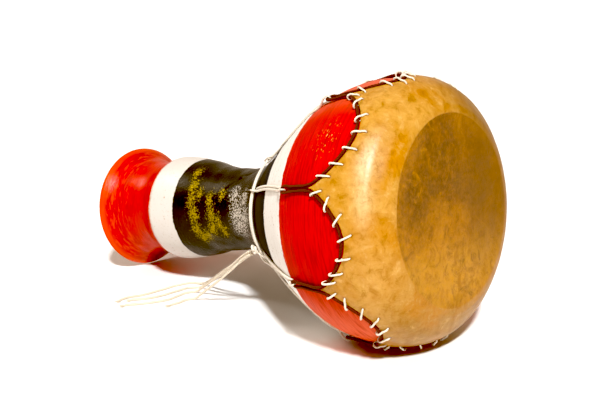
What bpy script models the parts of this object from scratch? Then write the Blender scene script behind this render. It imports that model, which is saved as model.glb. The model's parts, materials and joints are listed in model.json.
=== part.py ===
"""Clay goblet drum lying on its side, with a laced hide head and a loose string tail.

The drum is drawn along its own axis: X runs from the foot rim to the mouth, an angle of 0 points up and
90 degrees points towards -Y. It is then tilted until its foot rim and its bowl both touch the floor, Z = 0.
Lengths below are in millimetres.
"""

import math

import bmesh
import bpy
import numpy as np
from mathutils import Vector

MM = 0.001

# Clay shell: (distance from the foot rim, radius) down the outside and back up the inside.
OUTSIDE = [
    (0.0, 54.7), (17.5, 43.0), (38.0, 39.1), (62.0, 45.8), (89.5, 42.7), (117.0, 36.7), (145.0, 34.6),
    (160.0, 36.6), (175.0, 41.8), (188.0, 48.6), (203.0, 58.0), (219.0, 68.7), (236.0, 79.5), (255.0, 90.3),
    (275.0, 97.3), (291.0, 99.6), (305.0, 98.8), (317.5, 96.9), (333.0, 89.0), (341.0, 79.5), (343.8, 71.5),
]
INSIDE = [
    (1.0, 49.5), (17.5, 36.8), (38.0, 32.6), (62.0, 37.5), (89.5, 34.5), (117.0, 29.0), (145.0, 27.4),
    (160.0, 29.0), (175.0, 34.0), (190.0, 42.5), (205.0, 53.0), (221.0, 63.5), (238.0, 73.8), (257.0, 84.0),
    (276.0, 90.4), (291.0, 92.6), (305.0, 91.8), (317.5, 89.8), (331.0, 83.0), (338.5, 74.5), (342.5, 66.5),
]
FOOT_RIM_OUT, FOOT_RIM_IN = 53.6, 50.4
MOUTH_RIM_X, MOUTH_RIM_RADIUS = 344.0, 69.2
SHELL_COLUMNS = 40
BOW_START, BOW_END = 155.0, 345.0
BOW_Y, BOW_Z = -3.3, 4.6

# Hide head: gap to the clay, thickness and the scalloped edge between eight corners.
CORNER_ANGLES = [-10.0, 24.0, 69.9, 111.2, 155.5, 204.0, 253.0, 302.0]
CORNER_X = 291.0
LOBE_DEPTH = 29.0
LOBE_POWER = 0.68
HIDE_THICK = 0.9
HIDE_GAP_SKIRT, HIDE_GAP_MOUTH = 1.4, 0.3
HIDE_CREST = [(343.3, 74.5), (344.0, 70.4), (344.1, 36.0)]
HIDE_UNDER, HIDE_OVER = 0.4, 1.31
HIDE_COLUMNS = 80
HOLE_RADIUS = 1.25

# Binder: the dark cord along the hide's edge, with a doubled ear towards the neck at each corner.
BINDER_RADIUS = 1.3
BINDER_OUT = 1.7
BINDER_HEIGHT = 2.45
EAR_LENGTHS = [25.0, 19.0, 28.0, 28.5, 24.0, 26.0, 26.0, 26.0]
EAR_HALF_WIDTH = 1.7
EAR_EYE_HALF_WIDTH = 2.3
EAR_TIP_HEIGHT = 3.0

# White cotton string: whip stitches, tension strings, neck ring, knot and tail.
STRING_RADIUS = 1.0
STITCH_RADIUS = 0.85
STITCH_SPOTS = [[0.05, 0.17, 0.31, 0.45, 0.60, 0.76, 0.945]] * 8
STITCH_SPOTS[1] = [0.04, 0.155, 0.34, 0.495, 0.66, 0.81, 0.92]
STITCH_SPOTS[2] = [0.04, 0.17, 0.32, 0.49, 0.69, 0.84, 0.935]
LAST_LEANS = [-22.0, 0.0, 0.0, -22.0, -22.0, -22.0, -22.0, -22.0]
STITCH_REACH = 7.0
RING_X = 192.0
RING_PITCH = 2.15
RING_HEIGHT = 2.35
RING_ANGLES = [-6.0, 28.0, 61.0, 118.2, 124.0, 197.0, 248.0, 298.0]
KNOT_X, KNOT_ANGLE, KNOT_HEIGHT = 190.0, 113.5, 6.0
KNOT_SCALE = 1.15
KNOT_RADIUS = 0.95
TAIL_SPACING = 6.0
# Tail routes: points along the drum, across it and above the floor, from below the foot rim's centre.
TAIL_ROUTES = [
    [
        (182.7, -48.2, 57.2), (175.1, -46.1, 52.4), (155.0, -38.6, 39.3), (127.8, -29.1, 22.1),
        (104.5, -19.6, 7.8), (92.0, -16.5, 1.4), (82.5, -21.0, 1.05), (78.0, -33.0, 1.05),
        (76.3, -50.0, 1.05), (74.0, -71.0, 1.05), (69.0, -84.0, 1.05), (69.5, -92.0, 1.05),
    ],
    [
        (184.0, -48.6, 55.2), (176.5, -46.5, 50.6), (157.5, -41.3, 37.9), (131.6, -34.1, 21.3),
        (108.4, -27.0, 7.4), (97.5, -24.5, 1.4), (91.0, -31.0, 1.05), (89.0, -43.0, 1.05),
        (88.0, -57.0, 1.05), (84.5, -72.0, 1.05), (76.0, -84.5, 1.05),
    ],
    [
        (182.1, -50.6, 57.2), (174.5, -48.7, 52.5), (157.9, -45.7, 39.3), (134.1, -40.9, 22.1),
        (112.9, -36.0, 7.6), (103.0, -34.5, 1.4), (98.5, -42.0, 1.05), (99.0, -52.0, 1.05),
        (99.5, -63.0, 1.05), (94.5, -77.0, 1.05), (82.0, -97.0, 1.05),
    ],
    [
        (183.4, -50.9, 55.2), (176.1, -50.4, 50.4), (162.4, -49.8, 38.1), (141.9, -48.8, 21.5),
        (123.5, -47.4, 7.6), (115.0, -47.8, 1.4), (111.5, -53.5, 1.05), (112.0, -62.5, 1.05),
        (110.5, -72.0, 1.05),
    ],
]
# The middle of the whole drum's box, seen from the floor below the foot rim's centre.
BOX_CENTRE = (171.71, -2.04)


def smooth(value):
    value = min(1.0, max(0.0, value))
    return value * value * (3.0 - 2.0 * value)


def hermite(start, end, out, into, t):
    """A cubic from start to end that leaves with slope out and arrives with slope into."""
    bend = 2 * (start - end) + out + into
    return start + t * (out + t * (3 * (end - start) - 2 * out - into + t * bend))


def monotone_slopes(xs, ys):
    """Slopes of a cubic through the points that never overshoots them."""
    step = np.diff(xs)
    rise = np.diff(ys) / step
    slopes = np.zeros(len(xs))
    slopes[0], slopes[-1] = rise[0], rise[-1]
    for i in range(1, len(xs) - 1):
        if rise[i - 1] * rise[i] > 0:
            before, after = 2 * step[i] + step[i - 1], step[i] + 2 * step[i - 1]
            slopes[i] = (before + after) / (before / rise[i - 1] + after / rise[i])
    return slopes


class Profile:
    """A radius along the axis, read from a smooth curve through a few stations."""

    def __init__(self, stations):
        self.xs = np.array([x for x, _ in stations])
        self.rs = np.array([r for _, r in stations])
        self.slopes = monotone_slopes(self.xs, self.rs)

    def radius(self, x):
        i = int(np.clip(np.searchsorted(self.xs, x) - 1, 0, len(self.xs) - 2))
        step = self.xs[i + 1] - self.xs[i]
        out, into = self.slopes[i] * step, self.slopes[i + 1] * step
        return hermite(self.rs[i], self.rs[i + 1], out, into, (x - self.xs[i]) / step)

    def slope(self, x):
        return (self.radius(x + 0.2) - self.radius(x - 0.2)) / 0.4


CLAY = Profile(OUTSIDE)
BORE = Profile(INSIDE)


def bow(x):
    """How far the bowl's centre has drifted from the straight axis, as a hand-thrown bowl's does."""
    share = max(0.0, (x - BOW_START) / (BOW_END - BOW_START)) ** 1.5
    return BOW_Y * share, BOW_Z * share


def ring_point(x, radius, angle):
    """A point of the circle of this radius round the axis, in mm."""
    turn = math.radians(angle)
    across, up = bow(x)
    return Vector((x, across - radius * math.sin(turn), up + radius * math.cos(turn)))


def on_clay(x, angle, height, aside=0.0):
    """A point this high over the clay's outside; aside is a distance round the drum, in mm."""
    radius = CLAY.radius(x)
    slope = CLAY.slope(x)
    length = math.hypot(1.0, slope)
    angle += math.degrees(aside / radius)
    base = ring_point(x, radius + height / length, angle)
    base.x -= height * slope / length
    return base


def next_corner(index):
    turn = 360.0 if index + 1 == len(CORNER_ANGLES) else 0.0
    return CORNER_ANGLES[(index + 1) % len(CORNER_ANGLES)] + turn


def edge_at(index, share):
    """(x, angle) of the hide's edge, this share of the way from corner to corner."""
    start = CORNER_ANGLES[index]
    lift = math.sin(math.pi * min(1.0, max(0.0, share))) ** LOBE_POWER
    return CORNER_X + LOBE_DEPTH * lift, start + share * (next_corner(index) - start)


def edge_direction(index, share):
    """Unit direction of the edge as (along the axis, round the drum)."""
    x0, a0 = edge_at(index, share - 0.004)
    x1, a1 = edge_at(index, share + 0.004)
    along = x1 - x0
    across = math.radians(a1 - a0) * CLAY.radius((x0 + x1) / 2)
    length = math.hypot(along, across)
    return along / length, across / length


def new_material(name, colour, roughness, subsurface=0.0):
    material = bpy.data.materials.new(name)
    material.use_nodes = True
    shader = material.node_tree.nodes["Principled BSDF"]
    shader.inputs["Base Color"].default_value = (*colour, 1.0)
    shader.inputs["Roughness"].default_value = roughness
    shader.inputs["Subsurface Weight"].default_value = subsurface
    return material


def add_mesh(name, points, faces, material, parent):
    """A mesh object from points in mm, its faces turned outwards."""
    mesh = bpy.data.meshes.new(name)
    mesh.from_pydata([tuple(point * MM) for point in points], [], faces)
    work = bmesh.new()
    work.from_mesh(mesh)
    bmesh.ops.recalc_face_normals(work, faces=work.faces)
    work.to_mesh(mesh)
    work.free()
    mesh.materials.append(material)
    mesh.shade_smooth()
    mesh.set_sharp_from_angle(angle=math.radians(35))
    made = bpy.data.objects.new(name, mesh)
    bpy.context.scene.collection.objects.link(made)
    made.parent = parent
    return made


def loft(rings, closed):
    """Points and faces of a skin over rings of equal length; closed joins the last ring to the first."""
    count = len(rings[0])
    points = [point for ring in rings for point in ring]
    faces = []
    for i in range(len(rings) if closed else len(rings) - 1):
        here, there = i * count, (i + 1) % len(rings) * count
        for j in range(count):
            k = (j + 1) % count
            faces.append((here + j, here + k, there + k, there + j))
    return points, faces


def add_cord(name, points, radius, material, parent, resolution=0, closed=False, swell=None):
    """A round cord along these points in mm; swell is the share of the radius at each point."""
    curve = bpy.data.curves.new(name, "CURVE")
    curve.dimensions = "3D"
    curve.bevel_depth = radius * MM
    curve.bevel_resolution = resolution
    curve.use_fill_caps = not closed
    spline = curve.splines.new("POLY")
    spline.points.add(len(points) - 1)
    for i, point in enumerate(points):
        spline.points[i].co = (*(Vector(point) * MM), 1.0)
        spline.points[i].radius = swell[i] if swell else 1.0
    spline.use_cyclic_u = closed
    spline.use_smooth = True
    curve.materials.append(material)
    made = bpy.data.objects.new(name, curve)
    bpy.context.scene.collection.objects.link(made)
    made.parent = parent
    return made


def along_curve(route, spacing):
    """Evenly spaced points on a smooth curve through the route."""
    route = [Vector(point) for point in route]
    spans = [(b - a).length for a, b in zip(route, route[1:])]
    rates = [(b - a) / span for a, b, span in zip(route, route[1:], spans)]
    headings = [rates[0]]
    for i in range(1, len(spans)):
        near, far = spans[i - 1], spans[i]
        headings.append((rates[i - 1] * far + rates[i] * near) / (near + far))
    headings.append(rates[-1])
    fine = []
    for i, span in enumerate(spans):
        out, into = headings[i] * span, headings[i + 1] * span
        fine += [hermite(route[i], route[i + 1], out, into, step / 12) for step in range(12)]
    return evenly([*fine, route[-1]], spacing)


def evenly(fine, spacing):
    """The same line with its points this far apart, ends kept."""
    lengths = np.concatenate([[0.0], np.cumsum([(b - a).length for a, b in zip(fine, fine[1:])])])
    count = max(2, round(lengths[-1] / spacing) + 1)
    marks = np.linspace(0.0, lengths[-1], count)
    columns = [np.interp(marks, lengths, [point[axis] for point in fine]) for axis in range(3)]
    return [Vector(values) for values in zip(*columns)]


def add_hub(points, faces, start, count, hub):
    """Closes the end of a loft with triangles from one of its rings to a point."""
    points.append(hub)
    for j in range(count):
        faces.append((start + j, start + (j + 1) % count, len(points) - 1))


def make_shell(parent):
    """The hollow clay body, open at the foot and at the mouth."""
    outer = [0.6, 6, 17.5, 28, 39, 51, 63, 76, 90, 104, 118, 132, 146, 158, 170, 181, 192, 205, 219, 235]
    outer += [252, 270, 288, 304, 317.5, 327, 333, 338.5, 341.7, 343.8]
    inner = [342.5, 337, 326, 308, 285, 257, 230, 205, 180, 160, 135, 105, 75, 50, 25, 8, 1.0]
    stations = [(0.0, FOOT_RIM_OUT)]
    stations += [(x, CLAY.radius(x)) for x in outer]
    stations.append((MOUTH_RIM_X, MOUTH_RIM_RADIUS))
    stations += [(x, BORE.radius(x)) for x in inner]
    stations.append((0.0, FOOT_RIM_IN))
    # The columns start half a step round, so that the drum rests on a flat between two of them.
    columns = [360.0 * (j + 0.5) / SHELL_COLUMNS for j in range(SHELL_COLUMNS)]
    rings = [[ring_point(x, radius, a) for a in columns] for x, radius in stations]
    points, faces = loft(rings, True)
    paint = new_material("painted_clay", (0.62, 0.02, 0.01), 0.25)
    return add_mesh("clay_shell", points, faces, paint, parent)


def hide_gap(x):
    return HIDE_GAP_SKIRT + (HIDE_GAP_MOUTH - HIDE_GAP_SKIRT) * smooth((x - 331.0) / 8.0)


def make_hide(parent):
    """The skin over the mouth: a turned blank, cut to its scallops and punched for the stitches."""
    columns = [360.0 * j / HIDE_COLUMNS for j in range(HIDE_COLUMNS)]
    skirt = [286, 298, 308, 317.5, 325, 333, 338.5, 341.7]
    under = [[on_clay(x, a, hide_gap(x)) for a in columns] for x in skirt]
    under += [[ring_point(x + HIDE_UNDER, r, a) for a in columns] for x, r in HIDE_CREST]
    over = [[on_clay(x, a, hide_gap(x) + HIDE_THICK) for a in columns] for x in skirt]
    over += [[ring_point(x + HIDE_OVER, r + 0.3, a) for a in columns] for x, r in HIDE_CREST]
    points, faces = loft(under[::-1] + over, False)
    last = len(points) - HIDE_COLUMNS
    middle = HIDE_CREST[-1][0]
    add_hub(points, faces, 0, HIDE_COLUMNS, ring_point(middle + HIDE_UNDER, 0.0, 0.0))
    add_hub(points, faces, last, HIDE_COLUMNS, ring_point(middle + HIDE_OVER, 0.0, 0.0))
    skin = new_material("goat_hide", (0.62, 0.34, 0.09), 0.5, 0.1)
    hide = add_mesh("hide_head", points, faces, skin, parent)
    for cutter in (make_scallop_cutter(parent), make_hole_cutter(parent)):
        cut = hide.modifiers.new(cutter.name, "BOOLEAN")
        cut.operation = "DIFFERENCE"
        cut.solver = "EXACT"
        cut.object = cutter
    return hide


def add_cutter(name, points, faces, parent):
    """A helper solid for a Boolean, left out of the drum itself."""
    cutter = add_mesh(name, points, faces, new_material(name, (0.5, 0.5, 0.5), 0.5), parent)
    cutter.hide_render = True
    cutter.display_type = "WIRE"
    return cutter


def make_scallop_cutter(parent):
    """A band round the bowl whose mouth side follows the scallops."""
    shares = [0.0, 0.013, 0.035, 0.08, 0.15, 0.25, 0.37, 0.5, 0.63, 0.75, 0.85, 0.92, 0.965, 0.987]
    edge = [edge_at(i, share) for i in range(len(CORNER_ANGLES)) for share in shares]
    back = CORNER_X - 21.0
    rings = [
        [ring_point(back, 80.0, a) for _, a in edge],
        [ring_point(back, 112.0, a) for _, a in edge],
        [on_clay(x, a, 9.0) for x, a in edge],
        [on_clay(x, a, -6.0) for x, a in edge],
    ]
    points, faces = loft(rings, True)
    return add_cutter("cut_scallops", points, faces, parent)


def make_hole_cutter(parent):
    """A six-sided punch at every stitch."""
    points, faces = [], []
    corners = [math.tau * k / 6 for k in range(6)]
    for spot in [spot for i in range(len(CORNER_ANGLES)) for spot in stitch_spots(i)]:
        first = len(points)
        for height in (-0.8, 6.0):
            for turn in corners:
                shift, aside = HOLE_RADIUS * math.cos(turn), HOLE_RADIUS * math.sin(turn)
                points.append(on_clay_flat(*spot["hole"], height, shift, aside))
        faces.append(tuple(range(first, first + 6)))
        faces.append(tuple(range(first + 6, first + 12)))
        for k in range(6):
            m = (k + 1) % 6
            faces.append((first + k, first + m, first + 6 + m, first + 6 + k))
    return add_cutter("cut_holes", points, faces, parent)


def on_clay_flat(x, angle, height, along, aside):
    """A point of the plane that touches the clay at (x, angle), for a short straight step."""
    base = on_clay(x, angle, height)
    ahead = (on_clay(x + 0.5, angle, 0.0) - on_clay(x - 0.5, angle, 0.0)).normalized()
    round_it = (on_clay(x, angle, 0.0, 0.5) - on_clay(x, angle, 0.0, -0.5)).normalized()
    return base + ahead * along + round_it * aside


def stitch_lean(index, share):
    """How far a stitch leans from the drum's axis, in degrees; it swings round along the lobe."""
    if share < 0.1:
        return 22.0
    if share > 0.9:
        return LAST_LEANS[index]
    return 82.0 * (1.0 - smooth((share - 0.1) / 0.6))


def stitch_spots(index):
    """Where a lobe's stitches cross the binder, which way they run and where they enter the hide."""
    spots = []
    for share in STITCH_SPOTS[index]:
        x, angle = edge_at(index, share)
        tangent = edge_direction(index, share)
        x -= BINDER_OUT * tangent[1]
        angle += math.degrees(BINDER_OUT * tangent[0] / CLAY.radius(x))
        lean = math.radians(stitch_lean(index, share))
        run = (math.cos(lean), -math.sin(lean))
        steep = abs(run[0] * tangent[1] - run[1] * tangent[0])
        reach = STITCH_REACH - (1.0 if share < 0.1 else 0.0)
        hole_x = x + reach * run[0]
        hole_angle = angle + math.degrees(reach * run[1] / CLAY.radius(hole_x))
        spot = {"at": (x, angle), "hole": (hole_x, hole_angle)}
        spot.update(stretch=1.0 / max(0.55, steep), reach=reach)
        spots.append(spot)
    return spots


def make_stitches(index, material, parent):
    """One lobe's whip stitching: a string over the binder, through the hide and back under both."""
    points, swell = [], []
    for spot in stitch_spots(index):
        (x0, a0), (x1, a1) = spot["at"], spot["hole"]
        reach, stretch = spot["reach"], spot["stretch"]
        steps = (
            (1.6 * stretch, 0.62, 0.45),
            (-2.15 * stretch, 0.8, 0.5),
            (-2.55 * stretch, 2.45, 0.9),
            (-1.55 * stretch, 4.5, 1.0),
            (0.6 * stretch, 4.9, 1.0),
            (2.9 * stretch, 3.6, 1.0),
            (reach - 0.5, 3.2, 0.95),
            (reach, 1.8, 0.6),
            (reach - 0.3, 0.72, 0.45),
        )
        for run, height, width in steps:
            share = run / reach
            crossing = on_clay(x0 + (x1 - x0) * share, a0 + (a1 - a0) * share, height)
            if height == 0.62 and points:
                before = points[-1]
                points.append(lifted_middle(before, crossing))
                swell.append(width)
            points.append(crossing)
            swell.append(width)
    name = "whip_stitch_%d" % (index + 1)
    return add_cord(name, points, STITCH_RADIUS, material, parent, swell=swell)


def lifted_middle(first, second):
    """The point between two, raised off the clay by as much as the bowl bulges between them."""
    span = (second - first).length
    middle = (first + second) / 2
    centre = ring_point(middle.x, 0.0, 0.0)
    return middle + (middle - centre).normalized() * (span * span / (8.0 * 90.0))


def make_binder(material, parent):
    """The dark cord: round the hide's edge, and out and back as an ear at every corner."""
    points = []
    for i, corner in enumerate(CORNER_ANGLES):
        points += ear_points(corner, CORNER_X - EAR_LENGTHS[i])
        fine = []
        for step in range(2, 99):
            share = step / 100
            x, angle = edge_at(i, share)
            tangent = edge_direction(i, share)
            x -= BINDER_OUT * tangent[1]
            fine.append(on_clay(x, angle, BINDER_HEIGHT, BINDER_OUT * tangent[0]))
        points += evenly(fine, 7.5)
    return add_cord("edge_binder", points, BINDER_RADIUS, material, parent, 1, True)


def ear_points(angle, tip):
    half, eye = EAR_HALF_WIDTH, EAR_EYE_HALF_WIDTH
    mid = (tip + CORNER_X) / 2
    side = [
        (CORNER_X - 2.0, half, 2.1),
        (mid + 2.0, half, 1.7),
        (tip + 7.5, half + 0.1, 1.9),
        (tip + 4.2, eye, 2.6),
        (tip + 1.6, eye - 0.3, 2.95),
        (tip + 0.2, 1.1, EAR_TIP_HEIGHT),
    ]
    out = [on_clay(x, angle, height, -aside) for x, aside, height in side]
    back = [on_clay(x, angle, height, aside) for x, aside, height in side[::-1]]
    return out + [on_clay(tip - 0.1, angle, EAR_TIP_HEIGHT, 0.0)] + back


def ring_x(angle, turns=0):
    """Where the neck ring lies at this angle, on its first or second turn."""
    share = ((angle - KNOT_ANGLE) % 360.0) / 360.0
    return RING_X - RING_PITCH * (share + turns)


def make_tension_string(index, material, parent):
    """A string looped through a binder ear and round the neck ring, its two sides lying on the bowl."""
    tip = CORNER_X - EAR_LENGTHS[index]
    ear_angle, ring_angle = CORNER_ANGLES[index], RING_ANGLES[index]
    first = ring_x(ring_angle)
    second = first - RING_PITCH

    def at(x, aside, height):
        share = (x - first) / (tip - first)
        return on_clay(x, ring_angle + (ear_angle - ring_angle) * min(1.0, share), height, aside)

    straight = np.linspace(first + 13.0, tip - 9.0, 6)
    low = [(x, -1.15, 1.3, 1.0) for x in straight]
    high = [(x, 1.15, 1.3, 1.0) for x in straight[::-1]]
    through_ear = [
        (tip - 4.5, -1.0, 1.0, 0.75),
        (tip - 2.0, -0.6, 0.85, 0.6),
        (tip + 0.8, -0.2, 0.85, 0.6),
        (tip + 2.4, 0.0, 1.7, 0.6),
        (tip + 2.5, 0.0, 3.2, 0.6),
        (tip + 1.7, 0.2, 4.9, 0.6),
        (tip - 0.3, 0.5, 5.25, 0.65),
        (tip - 2.8, 0.9, 4.6, 0.8),
        (tip - 5.6, 1.15, 2.7, 0.95),
    ]
    round_ring = [
        (first + 7.5, 1.15, 1.7, 0.95),
        (first + 4.5, 1.0, 2.9, 0.75),
        (first + 2.0, 0.8, 3.95, 0.5),
        (first - 0.2, 0.6, 4.15, 0.45),
        (second, 0.4, 4.15, 0.45),
        (second - 1.5, 0.2, 3.6, 0.45),
        (second - 1.85, 0.0, 2.3, 0.45),
        (second - 1.5, -0.2, 1.1, 0.45),
        (second, -0.4, 0.66, 0.42),
        (first, -0.7, 0.66, 0.42),
        (first + 3.2, -1.0, 0.85, 0.6),
        (first + 7.0, -1.15, 1.15, 0.85),
    ]
    route = low + through_ear + high + round_ring
    points = [at(x, aside, height) for x, aside, height, _ in route]
    swell = [width for *_, width in route]
    name = "tension_string_%d" % (index + 1)
    return add_cord(name, points, STRING_RADIUS, material, parent, closed=True, swell=swell)


def make_neck_ring(material, parent):
    """Two turns of string round the base of the bowl, both ends tucked under the knot."""
    count = 84
    points = []
    for step in range(count + 1):
        turned = 2.0 + 716.0 * step / count
        x = RING_X - RING_PITCH * turned / 360.0
        points.append(on_clay(x, KNOT_ANGLE + turned, RING_HEIGHT))
    return add_cord("neck_ring", points, STRING_RADIUS * 0.95, material, parent)


def make_knot(material, parent):
    """The overhand knot that closes the ring, lying flat over both turns."""
    points = []
    for step in range(36):
        t = math.tau * step / 36
        reach = 2.0 + math.cos(3 * t)
        along = KNOT_SCALE * reach * math.cos(2 * t)
        aside = KNOT_SCALE * reach * math.sin(2 * t)
        height = KNOT_HEIGHT + KNOT_SCALE * math.sin(3 * t)
        points.append(on_clay_flat(KNOT_X, KNOT_ANGLE, height, along, aside))
    return add_cord("ring_knot", points, KNOT_RADIUS, material, parent, 1, True)


def make_tail(index, material, parent):
    """A loose strand from the knot down to the floor and along it."""
    points = along_curve(TAIL_ROUTES[index], TAIL_SPACING)
    for point in points:
        point.z = max(point.z, STRING_RADIUS + 0.05)
    return add_cord("tail_strand_%d" % (index + 1), points, STRING_RADIUS, material, parent, 2)


def resting_tilt(points):
    """The tilt at which the foot rim and the bowl are equally low, and how low that is, in mm."""
    foot = np.array([tuple(p) for p in points if p.x < 30.0])
    bowl = np.array([tuple(p) for p in points if p.x > 200.0])

    def lowest(part, tilt):
        return (part[:, 0] * math.sin(tilt) + part[:, 2] * math.cos(tilt)).min()

    small, large = 0.0, math.radians(25.0)
    for _ in range(60):
        tilt = (small + large) / 2
        if lowest(foot, tilt) > lowest(bowl, tilt):
            small = tilt
        else:
            large = tilt
    return tilt, lowest(foot, tilt)


def string_material(name):
    return new_material(name, (0.86, 0.84, 0.78), 0.8)


def main():
    for thing in list(bpy.data.objects):
        bpy.data.objects.remove(thing, do_unlink=True)
    floor_frame = bpy.data.objects.new("floor_frame", None)
    drum_frame = bpy.data.objects.new("drum_frame", None)
    for frame in (floor_frame, drum_frame):
        bpy.context.scene.collection.objects.link(frame)
    drum_frame.parent = floor_frame
    floor_frame.location = (-BOX_CENTRE[0] * MM, -BOX_CENTRE[1] * MM, 0.0)

    shell = make_shell(drum_frame)
    tilt, low = resting_tilt([vertex.co / MM for vertex in shell.data.vertices])
    drum_frame.rotation_euler = (0.0, -tilt, 0.0)
    drum_frame.location = (0.0, 0.0, -low * MM)
    make_hide(drum_frame)
    make_binder(new_material("dark_binder_cord", (0.07, 0.015, 0.012), 0.7), drum_frame)
    for i in range(len(CORNER_ANGLES)):
        make_stitches(i, string_material("stitch_string_%d" % (i + 1)), drum_frame)
        make_tension_string(i, string_material("tension_string_%d" % (i + 1)), drum_frame)
    make_neck_ring(string_material("ring_string"), drum_frame)
    make_knot(string_material("knot_string"), drum_frame)
    for i in range(len(TAIL_ROUTES)):
        make_tail(i, string_material("tail_string_%d" % (i + 1)), floor_frame)


main()
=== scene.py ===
"""The looks of a painted clay goblet drum with a laced hide head, lying on a pale floor.

The drum's own frame is the one that its CAD is drawn in: X runs from the foot rim to the mouth, an angle of 0
points up and 90 degrees points towards -Y. Lengths there are in millimetres. DRUM takes that frame to the row
frame, in metres.
"""

import json
import math

import bpy
import numpy as np
from mathutils import Matrix, Vector, noise


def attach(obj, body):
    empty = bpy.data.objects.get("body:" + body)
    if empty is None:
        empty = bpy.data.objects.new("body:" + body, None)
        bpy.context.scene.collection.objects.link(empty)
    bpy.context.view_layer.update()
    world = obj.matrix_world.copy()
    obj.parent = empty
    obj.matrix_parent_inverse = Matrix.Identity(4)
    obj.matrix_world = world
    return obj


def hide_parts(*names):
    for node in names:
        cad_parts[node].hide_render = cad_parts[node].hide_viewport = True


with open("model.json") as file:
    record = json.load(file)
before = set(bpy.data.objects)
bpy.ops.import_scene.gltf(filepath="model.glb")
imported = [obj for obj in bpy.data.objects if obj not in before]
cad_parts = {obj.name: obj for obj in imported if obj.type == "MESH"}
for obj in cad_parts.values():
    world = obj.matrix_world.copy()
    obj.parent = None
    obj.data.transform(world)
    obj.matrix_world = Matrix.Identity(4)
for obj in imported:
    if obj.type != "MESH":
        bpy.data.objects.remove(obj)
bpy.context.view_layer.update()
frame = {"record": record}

MM = 0.001
FOOT_RIM = next(mount for mount in frame["record"]["mounts"] if mount["name"] == "foot_rim")
TILT = math.atan2(-FOOT_RIM["axis"][2], -FOOT_RIM["axis"][0])
FLOOR_MARK = Vector((-0.17171, 0.00204, 0.0))
FOOT_HEIGHT = 0.0540
DRUM = Matrix.Translation(FLOOR_MARK + Vector((0, 0, FOOT_HEIGHT))) @ Matrix.Rotation(-TILT, 4, "Y")

# Camera: where it stands from the floor mark, how far it looks down, which way, and its lens.
CAMERA_PLACE = Vector((0.71986, -0.61665, 0.29858))
CAMERA_DOWN, CAMERA_TURN = 14.32, 40.55
CAMERA_LENS, SENSOR = 61.52, 36.0

# Lights: kind, turn from -Y towards +X and height above the horizon in degrees, and settings.
LIGHTS = {
    "key": ("SUN", 45.0, 46.8, {"energy": 4.6, "angle": math.radians(5.5), "color": (1.0, 0.985, 0.96)}),
    "side": ("AREA", -70.0, 38.0, {"energy": 8.5, "size": 0.5, "color": (1.0, 0.91, 0.82)}),
}
LAMP_DISTANCE, LAMP_AIM = 1.6, Vector((0, 0, 0.1))
# Surroundings: what lies behind the floor, and the light of the room turning into that of the white sweep.
BACKDROP = (0.96, 0.95, 0.94)
SWEEP_WAY = (-0.62, 0.78, 0.0)
SWEEP_STOPS = (0.20, 0.90)
ROOM = (0.20, 0.112, 0.070)
SWEEP = (0.80, 0.68, 0.58)
BLACK_LEVEL, WHITE_LEVEL = (0.028, 0.040, 0.058), (0.95, 0.95, 0.95)
FLOOR_REACH = 14.0

# Clay: (distance from the foot rim, radius), and the lean of the bowl off the straight axis.
OUTSIDE = [
    (0.0, 54.7), (17.5, 43.0), (38.0, 39.1), (62.0, 45.8), (89.5, 42.7), (117.0, 36.7), (145.0, 34.6),
    (160.0, 36.6), (175.0, 41.8), (188.0, 48.6), (203.0, 58.0), (219.0, 68.7), (236.0, 79.5),
    (255.0, 90.3), (275.0, 97.3), (291.0, 99.6), (305.0, 98.8), (317.5, 96.9), (333.0, 89.0),
    (341.0, 79.5), (343.8, 71.5),
]
INSIDE = [
    (1.0, 49.5), (17.5, 36.8), (38.0, 32.6), (62.0, 37.5), (89.5, 34.5), (117.0, 29.0), (145.0, 27.4),
    (160.0, 29.0), (175.0, 34.0), (190.0, 42.5), (205.0, 53.0), (221.0, 63.5), (238.0, 73.8),
    (257.0, 84.0), (276.0, 90.4), (291.0, 92.6), (305.0, 91.8), (317.5, 89.8), (331.0, 83.0),
    (338.5, 74.5), (342.5, 66.5),
]
MOUTH_X = 345.0
BOW_START, BOW_END = 155.0, MOUTH_X
BOW_Y, BOW_Z = -3.3, 4.6
CLAY_COLUMNS, OUTSIDE_RINGS, BORE_RINGS = 300, 270, 90
MOUTH_LIP = [(343.95, 70.4), (343.95, 68.6), (343.4, 67.4)]
FOOT_LIP = [(0.5, 49.9), (0.12, 50.7), (0.0, 51.8), (0.05, 53.0), (0.35, 54.0)]

# Hide: its corners, the depth of its scallops and its gap to the clay.
CORNER_ANGLES = [-10.0, 24.0, 69.9, 111.2, 155.5, 204.0, 253.0, 302.0]
CORNER_X = 291.0
LOBE_DEPTH, LOBE_POWER = 29.0, 0.68
HIDE_THICK = 0.9
HIDE_GAP_SKIRT, HIDE_GAP_MOUTH = 1.4, 0.3
HIDE_OVER = 1.31
SKIRT_RINGS, SKIRT_END, SKIRT_OUT = 56, 341.7, 200.0
CROWN_EDGE = [(342.55, 77.2), (343.2, 75.0), (343.85, 72.6)]
CROWN_TOP = 344.05
MOUTH_EDGE = 70.75
# Stains on the disc over the mouth: (across, up, half-width, half-height, strength).
STAINS = [(-8.0, 42.0, 22.0, 30.0, 1.25), (-46.0, 16.0, 18.0, 26.0, 0.7), (34.0, 22.0, 24.0, 28.0, 0.6)]
# Where a pale patch lies on the skirt's shoulder, partly the skin's own and partly a painted highlight: (x,
# angle, half-length along, half-width in degrees).
PALE_PATCH_AND_HIGHLIGHT_SPOTS = [(331.0, 58.0, 6.0, 12.0), (332.5, 76.0, 5.0, 10.0)]

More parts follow.
